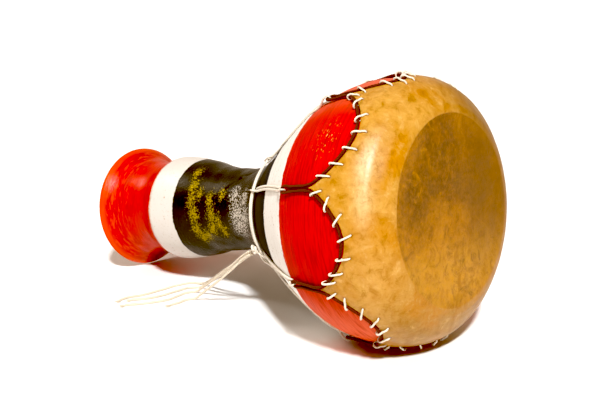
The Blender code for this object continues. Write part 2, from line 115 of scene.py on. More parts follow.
# Binder and string.
BINDER_RADIUS, BINDER_OUT, BINDER_HEIGHT = 1.3, 1.7, 2.45
EAR_LENGTHS = [25.0, 19.0, 28.0, 28.5, 24.0, 26.0, 26.0, 26.0]
EAR_HALF_WIDTH, EAR_EYE_HALF_WIDTH, EAR_TIP_HEIGHT = 1.7, 2.3, 3.0
STRING_RADIUS, SEWN_RADIUS = 1.0, 0.765
STRANDS, STRING_PITCH, STITCH_PITCH, BINDER_PITCH = 3, 5.6, 4.2, 7.0
FIBRES, FIBRE_FAN, FIBRE_RADIUS = 7, 12.0, 0.24
STITCH_SPOTS = [[0.05, 0.17, 0.31, 0.45, 0.60, 0.76, 0.945]] * 8
STITCH_SPOTS[1] = [0.04, 0.155, 0.34, 0.495, 0.66, 0.81, 0.92]
STITCH_SPOTS[2] = [0.04, 0.17, 0.32, 0.49, 0.69, 0.84, 0.935]
FIRST_LEAN, STEEPEST_LEAN = 22.0, 82.0
LAST_LEANS = [-22.0, 0.0, 0.0] + [-22.0] * 5
STITCH_REACH = 7.0
RING_X, RING_PITCH, RING_HEIGHT = 192.0, 2.15, 2.35
RING_ANGLES = [-6.0, 28.0, 61.0, 118.2, 124.0, 197.0, 248.0, 298.0]
KNOT_X, KNOT_ANGLE, KNOT_HEIGHT, KNOT_SCALE = 190.0, 113.5, 6.0, 1.15
# A tension string through its ear and round the ring: (past the ear's tip or the ring, aside, height, width).
STRING_ASIDE = 1.15
THROUGH_EAR = [
    (-4.5, -1.0, 1.0, 0.75), (-2.0, -0.6, 0.85, 0.6), (0.8, -0.2, 0.85, 0.6), (2.4, 0.0, 1.7, 0.6),
    (2.5, 0.0, 3.2, 0.6), (1.7, 0.2, 4.9, 0.65), (-0.3, 0.5, 5.25, 0.75), (-2.8, 0.9, 4.6, 0.85),
    (-5.6, 1.15, 2.7, 0.95),
]
ROUND_RING = [
    (7.5, 1.15, 1.7, 0.95), (4.5, 1.0, 2.9, 0.85), (2.0, 0.8, 3.95, 0.7), (-0.2, 0.6, 4.15, 0.65),
    (-2.15, 0.4, 4.15, 0.65), (-3.65, 0.2, 3.6, 0.6), (-4.0, 0.0, 2.3, 0.5), (-3.65, -0.2, 1.1, 0.45),
    (-2.15, -0.4, 0.66, 0.42), (0.0, -0.7, 0.66, 0.42), (3.2, -1.0, 0.85, 0.6), (7.0, -1.15, 1.15, 0.85),
]
# Tail routes: points along the drum, across it and above the floor, from the floor mark.
TAIL_ROUTES = [
    [
        (182.7, -48.2, 57.2), (175.1, -46.1, 52.4), (155.0, -38.6, 39.3), (127.8, -29.1, 22.1),
        (104.5, -19.6, 7.8), (92.0, -16.5, 1.4), (82.5, -21.0, 1.05), (78.0, -33.0, 1.05),
        (76.3, -50.0, 1.05), (74.0, -71.0, 1.05), (69.0, -84.0, 1.05), (69.5, -92.0, 1.05),
    ],
    [
        (184.0, -48.6, 55.2), (176.5, -46.5, 50.6), (157.5, -41.3, 37.9), (131.6, -34.1, 21.3),
        (108.4, -27.0, 7.4), (97.5, -24.5, 1.4), (91.0, -31.0, 1.05), (89.0, -43.0, 1.05),
        (88.0, -57.0, 1.05), (84.5, -72.0, 1.05), (76.0, -84.5, 1.05),
    ],
    [
        (182.1, -50.6, 57.2), (174.5, -48.7, 52.5), (157.9, -45.7, 39.3), (134.1, -40.9, 22.1),
        (112.9, -36.0, 7.6), (103.0, -34.5, 1.4), (98.5, -42.0, 1.05), (99.0, -52.0, 1.05),
        (99.5, -63.0, 1.05), (94.5, -77.0, 1.05), (82.0, -97.0, 1.05),
    ],
    [
        (183.4, -50.9, 55.2), (176.1, -50.4, 50.4), (162.4, -49.8, 38.1), (141.9, -48.8, 21.5),
        (123.5, -47.4, 7.6), (115.0, -47.8, 1.4), (111.5, -53.5, 1.05), (112.0, -62.5, 1.05),
        (110.5, -72.0, 1.05),
    ],
]


# The drum's surfaces.


def smooth(value):
    value = np.clip(value, 0.0, 1.0)
    return value * value * (3.0 - 2.0 * value)


def hermite(start, end, out, into, t):
    """A cubic from start to end that leaves with slope out and arrives with slope into."""
    bend = 2 * (start - end) + out + into
    return start + t * (out + t * (3 * (end - start) - 2 * out - into + t * bend))


class Profile:
    """A radius along the axis: a cubic through the stations that never overshoots them."""

    def __init__(self, stations):
        self.xs, self.rs = np.array(stations, float).T
        step = np.diff(self.xs)
        rise = np.diff(self.rs) / step
        self.slopes = np.r_[rise[0], np.zeros(len(step) - 1), rise[-1]]
        for i in range(1, len(step)):
            if rise[i - 1] * rise[i] > 0:
                before, after = 2 * step[i] + step[i - 1], step[i] + 2 * step[i - 1]
                self.slopes[i] = (before + after) / (before / rise[i - 1] + after / rise[i])

    def radius(self, x):
        x = np.asarray(x, float)
        i = np.clip(np.searchsorted(self.xs, x) - 1, 0, len(self.xs) - 2)
        step = self.xs[i + 1] - self.xs[i]
        out, into = self.slopes[i] * step, self.slopes[i + 1] * step
        return hermite(self.rs[i], self.rs[i + 1], out, into, (x - self.xs[i]) / step)

    def slope(self, x):
        return (self.radius(x + 0.2) - self.radius(x - 0.2)) / 0.4


CLAY = Profile(OUTSIDE)
BORE = Profile(INSIDE)


def ring_point(x, radius, angle):
    """Points at these distances, radii and angles round the bowed axis."""
    x, radius, angle = np.broadcast_arrays(*(np.asarray(v, float) for v in (x, radius, angle)))
    share = np.clip((x - BOW_START) / (BOW_END - BOW_START), 0.0, None) ** 1.5
    turn = np.radians(angle)
    across = BOW_Y * share - radius * np.sin(turn)
    up = BOW_Z * share + radius * np.cos(turn)
    return np.stack([x, across, up], axis=-1)


def on_clay(x, angle, height, aside=0.0):
    """Points this high over the clay, and this far aside of that angle, round the drum."""
    radius, slope = CLAY.radius(x), CLAY.slope(x)
    length = np.hypot(1.0, slope)
    angle = angle + np.degrees(aside / radius)
    return ring_point(x, radius + height / length, angle) - np.multiply.outer(
        height * slope / length, (1.0, 0.0, 0.0)
    )


def edge_at(index, share):
    """(x, angle) of the hide's edge, this share of the way from corner to corner."""
    start, end = [*CORNER_ANGLES, CORNER_ANGLES[0] + 360.0][index : index + 2]
    lift = np.sin(np.pi * np.clip(share, 0.0, 1.0)) ** LOBE_POWER
    return CORNER_X + LOBE_DEPTH * lift, start + share * (end - start)


def edge_direction(index, share):
    """Unit direction of the edge as (along the axis, round the drum)."""
    x0, a0 = edge_at(index, share - 0.004)
    x1, a1 = edge_at(index, share + 0.004)
    along, across = x1 - x0, math.radians(a1 - a0) * CLAY.radius((x0 + x1) / 2)
    length = math.hypot(along, across)
    return along / length, across / length


def stitch_lean(index, share):
    """How far a stitch leans from the drum's axis, in degrees."""
    if share < 0.1:
        return FIRST_LEAN
    if share > 0.9:
        return LAST_LEANS[index]
    return STEEPEST_LEAN * (1.0 - float(smooth((share - 0.1) / 0.6)))


def stitch_spots(index):
    """Where a lobe's stitches cross the binder, which way they run and where they enter the hide."""
    spots = []
    for share in STITCH_SPOTS[index]:
        x, angle = edge_at(index, share)
        tangent = edge_direction(index, share)
        x -= BINDER_OUT * tangent[1]
        angle += math.degrees(BINDER_OUT * tangent[0] / CLAY.radius(x))
        lean = math.radians(stitch_lean(index, share))
        run = (math.cos(lean), -math.sin(lean))
        steep = abs(run[0] * tangent[1] - run[1] * tangent[0])
        reach = STITCH_REACH - (1.0 if share < 0.1 else 0.0)
        hole_x = x + reach * run[0]
        hole_angle = angle + math.degrees(reach * run[1] / CLAY.radius(hole_x))
        spot = {"at": (x, angle), "hole": (hole_x, hole_angle)}
        spot.update(stretch=1.0 / max(0.55, steep), reach=reach)
        spots.append(spot)
    return spots


# Meshes.


def noise_at(points, scale, seed=0.0):
    """Smooth noise from -1 to 1 at each point, its lumps about this many millimetres across."""
    shift = Vector((seed, seed * 1.7, seed * 0.6))
    flat = np.asarray(points, float).reshape(-1, 3) / scale
    values = [noise.noise(Vector(point) + shift) for point in flat]
    return np.array(values).reshape(np.shape(points)[:-1])


def grid_faces(rows, columns, wrap_rows=False):
    """Quads of a grid of points numbered row by row, each row a closed ring."""
    i, j = np.meshgrid(np.arange(rows if wrap_rows else rows - 1), np.arange(columns), indexing="ij")
    i_next, j_next = (i + 1) % rows, (j + 1) % columns
    corners = [i * columns + j, i * columns + j_next, i_next * columns + j_next, i_next * columns + j]
    return np.stack(corners).reshape(4, -1).T.tolist()


def make_piece(name, points, faces, material, replaces=(), attributes=None, on_floor=False):
    """A smooth mesh piece that rides on the drum.

    Its points are in mm, in the drum's own frame, or from the floor mark if it is on_floor.
    """
    place = np.asarray(points, float).reshape(-1, 3) * MM
    to_row = np.array(Matrix.Translation(FLOOR_MARK) if on_floor else DRUM)
    mesh = bpy.data.meshes.new(name)
    mesh.from_pydata((place @ to_row[:3, :3].T + to_row[:3, 3]).tolist(), [], faces)
    flat = place.astype(np.float32).ravel()
    mesh.attributes.new("place", "FLOAT_VECTOR", "POINT").data.foreach_set("vector", flat)
    for key, values in (attributes or {}).items():
        layer = mesh.attributes.new(key, "FLOAT", "POINT")
        layer.data.foreach_set("value", np.asarray(values, np.float32).ravel())
    mesh.shade_smooth()
    mesh.materials.append(material)
    piece = bpy.data.objects.new(name, mesh)
    bpy.context.scene.collection.objects.link(piece)
    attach(piece, "root")
    if replaces:
        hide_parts(*replaces)
    return piece


def smooth_line(points, step, closed=False):
    """Points about this far apart on a smooth curve through the given ones.

    The second result says how far through the given list each point is.
    """
    points = np.asarray(points, float)
    if closed:
        points = np.vstack([points, points[:1]])
    moves = np.diff(points, axis=0)
    span = np.linalg.norm(moves, axis=1)
    rate = moves / span[:, None]
    ends = (-1, 0) if closed else (0, -1)
    before, after = np.vstack([rate[ends[0]], rate]), np.vstack([rate, rate[ends[1]]])
    near, far = np.r_[span[ends[0]], span][:, None], np.r_[span, span[ends[1]]][:, None]
    heading = (before * far + after * near) / (near + far)
    marks = np.r_[0.0, np.cumsum(span)]
    wanted = np.linspace(0.0, marks[-1], max(8, int(marks[-1] / step)) + 1)
    if closed:
        wanted = wanted[:-1]
    i = np.clip(np.searchsorted(marks, wanted, side="right") - 1, 0, len(span) - 1)
    t = ((wanted - marks[i]) / span[i])[:, None]
    out, into = heading[i] * span[i][:, None], heading[i + 1] * span[i][:, None]
    return hermite(points[i], points[i + 1], out, into, t), i + t[:, 0]


def carried_frames(line, closed):
    """Two directions across the line at each point, carried along it without twisting."""
    if closed:
        tangent = np.roll(line, -1, axis=0) - np.roll(line, 1, axis=0)
    else:
        tangent = np.gradient(line, axis=0)
    tangent /= np.linalg.norm(tangent, axis=1)[:, None]
    normal = np.cross(tangent[0], (0.31, 0.17, 0.93))
    normals = []
    for direction in tangent:
        normal = normal - (normal @ direction) * direction
        normal = normal / np.linalg.norm(normal)
        normals.append(normal)
    normals = np.array(normals)
    return normals, np.cross(tangent, normals)


def cord_turns(line, along, normal, side, pitch, closed):
    """How many turns the twist has made at each point. A closed cord's twist meets itself."""
    if not closed:
        return along / pitch
    total = along[-1] + np.linalg.norm(line[0] - line[-1])
    slip = math.atan2(normal[-1] @ side[0], normal[-1] @ normal[0]) / math.tau
    return along / total * (round(total / pitch * STRANDS) / STRANDS - slip)


def cord_width(along, where, radius, swell, closed):
    """How wide the cord is at each point, where 1 is its full width. Open ends are rounded."""
    width = np.ones(len(where))
    if swell is not None:
        listed = np.r_[swell, swell[0]] if closed else np.asarray(swell, float)
        width = np.interp(where, np.arange(len(listed)), listed)
    if not closed:
        from_end = np.minimum(along, along[-1] - along)
        width = width * np.sqrt(np.clip(from_end / (0.6 * radius), 0.05, 1.0))
    return width


def rope_shape(points, radius, pitch, swell=None, closed=False, step=0.45, sides=15, groove=0.2):
    """A twisted cord along a route: its points and faces, how deep in a groove each is, its middle line."""
    line, where = smooth_line(points, step, closed)
    normal, side = carried_frames(line, closed)
    along = np.r_[0.0, np.cumsum(np.linalg.norm(np.diff(line, axis=0), axis=1))]
    turns = cord_turns(line, along, normal, side, pitch, closed)
    width = cord_width(along, where, radius, swell, closed)
    angle = np.linspace(0.0, math.tau, sides, endpoint=False)
    lobe = np.abs(np.cos(STRANDS / 2 * (angle[None, :] - math.tau * turns[:, None])))
    reach = radius * width[:, None] * (1.0 - groove + groove * np.sqrt(lobe))
    ring = np.cos(angle)[None, :, None] * normal[:, None, :]
    ring = ring + np.sin(angle)[None, :, None] * side[:, None, :]
    verts = line[:, None, :] + reach[:, :, None] * ring
    faces = grid_faces(len(line), sides, wrap_rows=closed)
    if not closed:
        last = (len(line) - 1) * sides
        faces += [list(range(sides))[::-1], [last + k for k in range(sides)]]
    return verts.reshape(-1, 3), faces, (1.0 - lobe).ravel(), line


def make_rope(name, points, radius, pitch, material, slot, replaces, on_floor=False, **shape):
    """A twisted cord as a piece, and its middle line."""
    verts, faces, grooves, line = rope_shape(points, radius, pitch, **shape)
    piece = make_piece(name, verts, faces, material, replaces, {"groove": grooves}, on_floor)
    return piece, line


# Materials.


class Nodes:
    """Short words for the nodes of a tree."""

    def __init__(self, tree):
        self.tree = tree

    def put(self, socket, value):
        if isinstance(value, bpy.types.NodeSocket):
            self.tree.links.new(value, socket)
        elif isinstance(value, tuple) and len(value) == 3 and socket.type == "RGBA":
            socket.default_value = (*value, 1.0)
        else:
            socket.default_value = value

    def feed(self, node, inputs):
        """Links or sets inputs, each named with _ for a space."""
        for key, value in inputs.items():
            self.put(node.inputs[key.replace("_", " ")], value)
        return node

    def node(self, kind, settings=None, **inputs):
        made = self.tree.nodes.new("ShaderNode" + kind)
        for key, value in (settings or {}).items():
            setattr(made, key, value)
        return self.feed(made, inputs)

    def math(self, operation, *values):
        made = self.node("Math", {"operation": operation})
        for socket, value in zip(made.inputs, values):
            self.put(socket, value)
        return made.outputs[0]

    def times(self, first, second):
        return self.math("MULTIPLY", first, second)

    def plus(self, first, second):
        return self.math("ADD", first, second)

    def minus(self, first, second):
        return self.math("SUBTRACT", first, second)

    def attribute(self, name, output="Fac"):
        return self.node("Attribute", {"attribute_name": name}).outputs[output]

    def ramp(self, value, low, high, to_low=0.0, to_high=1.0):
        """A soft step from to_low to to_high while value goes from low to high."""
        limits = {"From_Min": low, "From_Max": high, "To_Min": to_low, "To_Max": to_high}
        made = self.node("MapRange", {"interpolation_type": "SMOOTHSTEP"}, Value=value, **limits)
        return made.outputs["Result"]

    def coats(self, colour, *coats):
        """A colour with others laid over it, each coat as (how much it covers, colour)."""
        for share, over in coats:
            made = self.node("Mix", {"data_type": "RGBA"})
            for number, value in ((0, share), (6, colour), (7, over)):
                self.put(made.inputs[number], value)
            colour = made.outputs[2]
        return colour


class Paint(Nodes):
    """A Principled material."""

    def __init__(self, name, roughness=0.5, **fixed):
        self.material = bpy.data.materials.new(name)
        self.material.use_nodes = True
        super().__init__(self.material.node_tree)
        self.shader = self.feed(self.tree.nodes["Principled BSDF"], {"Roughness": roughness, **fixed})
        self.place = self.attribute("place", "Vector")

    def noise(self, scale, detail, roughness=0.55, distortion=0.0, place=None):
        facts = {"Scale": scale, "Detail": detail, "Roughness": roughness, "Distortion": distortion}
        return self.node("TexNoise", Vector=place or self.place, **facts).outputs["Fac"]

    def cells(self, scale):
        """How far the nearest of many scattered points is."""
        return self.node("TexVoronoi", Vector=self.place, Scale=scale).outputs["Distance"]

    def bump(self, height, distance, strength):
        return self.node("Bump", Height=height, Distance=distance, Strength=strength).outputs[0]

    def finish(self, **links):
        self.feed(self.shader, links)
        return self.material


class DrumPaint(Paint):
    """A Paint that knows where each point lies along the drum's axis and off it, in metres."""

    def __init__(self, name, **fixed):
        super().__init__(name, **fixed)
        parts = self.node("SeparateXYZ", Vector=self.place)
        self.x, self.across, self.up = parts.outputs
        squares = self.plus(self.times(self.across, self.across), self.times(self.up, self.up))
        self.off_axis = self.math("SQRT", squares)

    def brushed(self, along_scale, round_scale, detail, roughness=0.55):
        """Noise that is long round the drum and short along it, as brush strokes and throwing lines are."""
        sides = {"X": self.times(self.x, along_scale)}
        for axis, side in (("Y", self.across), ("Z", self.up)):
            sides[axis] = self.times(self.math("DIVIDE", side, self.off_axis), round_scale)
        place = self.node("CombineXYZ", **sides).outputs[0]
        return self.noise(1.0, detail, roughness, place=place)


RED_DEEP = (0.36, 0.0008, 0.0004)
RED = (0.54, 0.0012, 0.0006)
RED_ORANGE = (0.58, 0.055, 0.004)
PAINTED_FLOOR_SHEEN_RED = (0.80, 0.24, 0.13)
PAINTED_TOP_SHEEN_RED = (0.78, 0.27, 0.17)
WHITE_PAINT = (0.80, 0.79, 0.75)
WORN_WHITE = (0.58, 0.555, 0.52)
SPECK_BROWN = (0.30, 0.17, 0.08)
NICK_BROWN = (0.33, 0.24, 0.16)
SMEAR_BROWN = (0.55, 0.42, 0.30)
SEAM_BROWN = (0.42, 0.25, 0.14)
BLACK_PAINT = (0.006, 0.004, 0.002)
GREY_OLIVE = (0.024, 0.022, 0.024)
BLUE_BLACK = (0.008, 0.011, 0.024)
MUSTARD_DARK = (0.10, 0.072, 0.002)
MUSTARD = (0.42, 0.29, 0.006)
PAINTED_GLINT_GREY = (0.50, 0.45, 0.38)
CLAY_DARK = (0.34, 0.13, 0.075)
CLAY_PALE = (0.46, 0.19, 0.11)
# Where one band of paint gives way to the next, in mm from the foot rim, and how softly.
BAND_EDGES = {"foot": (58.4, 0.35), "neck": (86.5, 0.35), "bowl": (190.0, 4.0)}
BAND_EDGES.update(grey=(218.8, 0.8), red=(254.4, 0.35))


def past(p, name):
    """0 before this edge between two bands and 1 after it."""
    middle, softness = BAND_EDGES[name]
    return p.ramp(p.edge, middle - softness, middle + softness)


def band(p, start, end):
    return p.times(past(p, start), p.minus(1.0, past(p, end)))


def foot_red(p):
    """Red with orange streaks, which close up towards the rim."""
    streaks = p.times(p.ramp(p.strokes, 0.46, 0.66), p.ramp(p.along, 34.0, 10.0, 0.25, 1.0))
    return p.coats(
        RED,
        (p.ramp(p.broad, 0.40, 0.70, 0.45, 0.9), RED_DEEP),
        (p.times(streaks, 0.8), RED_ORANGE),
        (p.ramp(p.along, 7.0, 3.0, 0.0, 0.75), RED_ORANGE),
    )


def bowl_red(p):
    """Red with a dry start, a few painted glints, and painted sheen that makes its crest and underside paler.
    """
    dry = p.times(p.ramp(p.strokes, 0.60, 0.74), p.ramp(p.along, 270.0, 254.0))
    # Painted glints: pale flecks that stand for light caught on the brush ridges.
    painted_red_glints = p.ramp(p.brushed(1100.0, 34.0, 2.0, 0.5), 0.62, 0.70)
    below = p.ramp(p.up, -0.025, -0.075, 0.0, 0.5)
    return p.coats(
        RED_DEEP,
        (p.ramp(p.strokes, 0.30, 0.60), RED),
        (p.ramp(p.fine, 0.60, 0.78, 0.0, 0.45), RED_ORANGE),
        (p.times(dry, 0.75), (0.80, 0.30, 0.18)),
        (p.times(painted_red_glints, p.attribute("painted_red_glint")), (0.95, 0.55, 0.20)),
        # The floor's reflection as painted sheen: a paler red on the bowl's underside.
        (p.times(p.ramp(p.strokes, 0.30, 0.60, 0.4, 1.0), below), PAINTED_FLOOR_SHEEN_RED),
        # A paler red along the top of the bowl: painted sheen.
        (p.ramp(p.math("DIVIDE", p.up, p.off_axis), 0.78, 0.99, 0.0, 0.42), PAINTED_TOP_SHEEN_RED),
    )


def band_white(p):
    """White that is greyer near the foot, with streaks, specks, nicks, smears and a dirty seam."""
    specks = p.times(p.ramp(p.cells(190.0), 0.10, 0.20, 1.0, 0.0), p.ramp(p.lumps, 0.50, 0.62))
    smears = p.times(p.ramp(p.brushed(300.0, 9.0, 3.0), 0.62, 0.75), 0.35)
    seam = p.times(p.ramp(p.edge, 57.0, 59.0), p.ramp(p.edge, 61.5, 59.0))
    return p.coats(
        WORN_WHITE,
        (p.ramp(p.along, 120.0, 200.0), WHITE_PAINT),
        (p.ramp(p.strokes, 0.35, 0.75, 0.0, 0.35), (0.58, 0.54, 0.47)),
        (p.times(specks, 0.6), SPECK_BROWN),
        (p.ramp(p.brushed(620.0, 42.0, 2.0), 0.64, 0.72, 0.0, 0.6), NICK_BROWN),
        (smears, SMEAR_BROWN),
        (p.times(seam, p.ramp(p.fine, 0.4, 0.6, 0.1, 0.7)), SEAM_BROWN),
    )


def neck_black(p):
    """Black with sponged mustard dabs, and pale grains where the neck meets the bowl: painted glints of light
    on the rough paint.
    """
    dab, glint = p.attribute("dab"), p.attribute("glint")
    sponge = p.plus(p.noise(760.0, 3.0, 0.7), p.times(dab, 0.26))
    mustard = p.coats(MUSTARD_DARK, (p.ramp(p.noise(1300.0, 2.0), 0.38, 0.62), MUSTARD))
    # Painted glints: pale grains that stand for light caught on the rough black paint.
    painted_glint_specks = p.plus(p.noise(720.0, 2.0, 0.7), p.times(glint, 0.15))
    painted_glint_specks = p.times(p.ramp(painted_glint_specks, 0.595, 0.64), p.ramp(glint, 0.04, 0.35))
    return p.coats(
        BLACK_PAINT,
        # A browner tone over the lumps: painted sheen on the black paint.
        (p.ramp(p.lumps, 0.40, 0.75, 0.0, 0.7), (0.024, 0.017, 0.010)),
        (p.times(p.ramp(sponge, 0.67, 0.73), p.ramp(dab, 0.04, 0.22)), mustard),
        (p.times(painted_glint_specks, 0.95), PAINTED_GLINT_GREY),
    )


def clay_colour(p):
    white = band_white(p)
    streaks = (p.ramp(p.strokes, 0.35, 0.65, 0.0, 0.7), (0.016, 0.014, 0.011))
    grey = p.coats(GREY_OLIVE, streaks, (p.ramp(p.edge, 204.0, 210.0), BLUE_BLACK))
    bare = p.coats(CLAY_DARK, (p.ramp(p.lumps, 0.3, 0.7), CLAY_PALE))
    bands = {"foot": white, "neck": neck_black(p), "bowl": grey, "grey": white, "red": bowl_red(p)}
    coats = [(past(p, name), colour) for name, colour in bands.items()]
    return p.coats(foot_red(p), *coats, (p.inside, bare))


def clay_roughness(p):
    """Glossy at the foot and neck, duller on the bowl, matt on the grey band and the bare clay."""
    rough = p.plus(p.ramp(p.broad, 0.3, 0.7, 0.28, 0.40), p.ramp(p.along, 180.0, 200.0, 0.0, 0.32))
    for matt in (band(p, "bowl", "grey"), p.inside):
        rough = p.math("MAXIMUM", rough, p.times(matt, 0.85))
    return rough


def clay_paint():
    """Hand-painted gloss bands over thrown clay, with brush strokes that run round the drum."""
    p = DrumPaint("clay_paint", Specular_IOR_Level=0.28)
    p.along = p.math("DIVIDE", p.x, MM)
    p.strokes = p.brushed(520.0, 5.0, 4.0, 0.62)
    p.broad = p.brushed(95.0, 2.2, 3.0, 0.5)
    p.fine = p.brushed(1500.0, 22.0, 2.0, 0.6)
    p.lumps = p.noise(38.0, 4.0, 0.6)
    p.inside = p.attribute("inside")
    wobble = p.times(p.minus(p.noise(55.0, 3.0), 0.5), 3.2)
    ragged = p.times(p.minus(p.brushed(260.0, 26.0, 3.0), 0.5), 2.2)
    p.edge = p.plus(p.along, p.plus(wobble, ragged))
    height = p.plus(p.times(p.strokes, 0.6), p.times(p.fine, 0.4))
    height = p.plus(height, p.times(band(p, "neck", "bowl"), p.noise(520.0, 4.0, 0.7)))
    bump = p.bump(p.plus(height, p.times(p.lumps, 0.5)), 0.00035, 0.8)
    return p.finish(Base_Color=clay_colour(p), Roughness=clay_roughness(p), Normal=bump)


def skin_over_clay(p):
    """Golden skin with amber patches, painted shade on its underside, and one pale patch that is partly its
    own and partly a painted highlight.
    """
    painted_under_shade = p.coats((0.37, 0.205, 0.055), (p.ramp(p.blotch, 0.3, 0.7), (0.27, 0.135, 0.025)))
    amber = p.times(p.ramp(p.cloud, 0.44, 0.62), p.ramp(p.mottle, 0.38, 0.56, 0.2, 0.75))
    return p.coats(
        (0.56, 0.305, 0.075),
        (p.ramp(p.cloud, 0.30, 0.68), (0.44, 0.205, 0.026)),
        (p.ramp(p.blotch, 0.48, 0.74, 0.0, 0.55), (0.32, 0.11, 0.003)),
        (p.ramp(p.blotch, 0.44, 0.24, 0.0, 0.45), (0.62, 0.38, 0.085)),
        # Painted shade: darker, blotchy skin on the underside.
        (p.times(p.attribute("under"), 0.75), painted_under_shade),
        (p.ramp(p.mottle, 0.46, 0.32, 0.0, 0.40), (0.70, 0.47, 0.18)),
        (amber, (0.48, 0.190, 0.018)),
        # A pale patch on the shoulder, partly the skin's own and partly a painted highlight.
        (p.times(p.attribute("pale_patch_and_highlight"), 0.5), (0.76, 0.60, 0.32)),
    )


def skin_over_mouth(p):
    """Darker skin with nothing behind it, stained above, paler below from painted floor light, with soft
    veins.
    """
    stain = p.plus(p.times(p.attribute("stain"), 0.62), p.noise(24.0, 5.0, 0.7, 1.2))
    veins = p.noise(70.0, 6.0, 0.72, 1.6)
    return p.coats(
        (0.38, 0.150, 0.0015),
        (p.ramp(stain, 0.44, 0.95), (0.085, 0.030, 0.0005)),
        (p.ramp(p.blotch, 0.45, 0.66, 0.0, 0.6), (0.19, 0.070, 0.001)),
        # Painted light: the floor's bounce makes the lower part of the disc paler.
        (p.ramp(p.attribute("pale"), 0.0, 1.0, 0.0, 0.55), (0.55, 0.28, 0.030)),
        (p.ramp(veins, 0.46, 0.70, 0.0, 0.75), (0.100, 0.036, 0.0005)),
        (p.ramp(veins, 0.48, 0.26, 0.0, 0.55), (0.56, 0.24, 0.006)),
    )


def skin_colour(p):
    """Both skins with what they share: mottle, grain, freckles, painted shade in the stitch holes and a
    darker far rim.
    """
    out = p.plus(p.attribute("out"), p.times(p.minus(p.noise(30.0, 2.0), 0.5), 1.2))
    over_mouth = p.ramp(out, MOUTH_EDGE - 0.9, MOUTH_EDGE + 0.3, 1.0, 0.0)
    freckles = p.times(p.ramp(p.cells(105.0), 0.05, 0.11, 1.0, 0.0), p.ramp(p.cloud, 0.45, 0.6))
    far_rim = p.times(p.ramp(p.across, -0.010, 0.045), p.ramp(p.up, -0.075, 0.0))
    return p.coats(
        skin_over_clay(p),
        (p.times(over_mouth, 0.92), skin_over_mouth(p)),
        (p.ramp(p.mottle, 0.47, 0.70, 0.0, 0.72), (0.26, 0.100, 0.003)),
        (p.ramp(p.grain, 0.35, 0.75, 0.0, 0.35), (0.40, 0.17, 0.03)),
        (p.times(freckles, 0.45), (0.20, 0.07, 0.015)),
        # Painted shade inside the stitch holes.
        (p.times(p.attribute("hole"), 0.85), (0.10, 0.030, 0.010)),
        (p.times(far_rim, 0.72), (0.15, 0.060, 0.001)),
    )


def hide_skin():
    """Mottled golden rawhide, darker where nothing backs it over the mouth."""
    p = DrumPaint("hide_skin", Subsurface_Weight=0.05, Subsurface_Scale=0.003, Specular_IOR_Level=0.5)
    p.cloud = p.noise(17.0, 5.0, 0.62, 0.6)
    p.blotch = p.noise(42.0, 5.0, 0.66, 0.9)
    p.mottle = p.noise(115.0, 6.0, 0.74, 0.5)
    p.grain = p.noise(330.0, 4.0, 0.7)
    height = p.plus(p.times(p.grain, 0.5), p.times(p.blotch, 0.8))
    bump = p.bump(p.minus(height, p.times(p.cells(900.0), 0.18)), 0.0004, 0.55)
    return p.finish(Base_Color=skin_colour(p), Roughness=p.ramp(p.blotch, 0.3, 0.75, 0.34, 0.46), Normal=bump)


def string_fibre(name, light, dark, fuzz=0.25):
    """Twisted fibre: painted shade in the grooves between its strands, with fine threads along it."""
    p = Paint(name, 0.85, Sheen_Weight=fuzz, Sheen_Roughness=0.5)
    threads = p.noise(2600.0, 3.0, 0.7)
    colour = p.coats(
        light,
        (p.ramp(threads, 0.35, 0.7, 0.0, 0.4), dark),
        # Painted shade in the grooves between the strands.
        (p.times(p.ramp(p.attribute("groove"), 0.45, 1.0), 0.75), dark),
        (p.ramp(p.noise(130.0, 3.0, 0.6), 0.55, 0.8, 0.0, 0.3), dark),
    )
    return p.finish(Base_Color=colour, Normal=p.bump(threads, 0.00025, 0.7))


def floor_card():
    """Pale card, very slightly uneven in tone and surface."""
    p = Paint("floor_card", 0.6)
    p.place = p.node("TexCoord").outputs["Object"]
    tone = p.ramp(p.noise(6.0, 4.0, 0.6), 0.3, 0.7)
    colour = p.coats((0.90, 0.90, 0.90), (tone, (0.93, 0.93, 0.93)))
    return p.finish(Base_Color=colour, Normal=p.bump(p.noise(700.0, 3.0), 0.0001, 0.15))


COTTON = string_fibre("white_cotton", (0.84, 0.80, 0.71), (0.42, 0.30, 0.16))
# The tails' cotton is painted darker, with deeper painted shade in its grooves.
PAINTED_SHADE_COTTON = string_fibre("painted_shade_cotton", (0.78, 0.71, 0.58), (0.27, 0.18, 0.085), 0.1)
BINDER = string_fibre("dark_binder", (0.125, 0.018, 0.012), (0.022, 0.003, 0.003), 0.03)


# Clay body.


def spot_share(x, angle, spots):
    """The strongest of several soft spots, each (x, angle, half-length along, half-width in degrees)."""
    share = np.zeros(np.shape(x))
    for x0, a0, wide, turn in spots:
        off = (angle - a0 + 180.0) % 360.0 - 180.0
        share = np.maximum(share, np.exp(-(((x - x0) / wide) ** 2) - (off / turn) ** 2))
    return share


def crease(x, angle, start, end, width):
    """How deep a straight crease is at each place, from 0 to 1; its ends are (x, angle)."""
    scale = math.radians(1.0) * NECK_RADIUS
    place = np.stack([x, angle * scale], axis=-1)
    a, b = np.array([start[0], start[1] * scale]), np.array([end[0], end[1] * scale])
    t = np.clip(((place - a) @ (b - a)) / ((b - a) @ (b - a)), 0.0, 1.0)
    gap = np.linalg.norm(place - a - t[..., None] * (b - a), axis=-1)
    return np.exp(-((gap / width) ** 2))


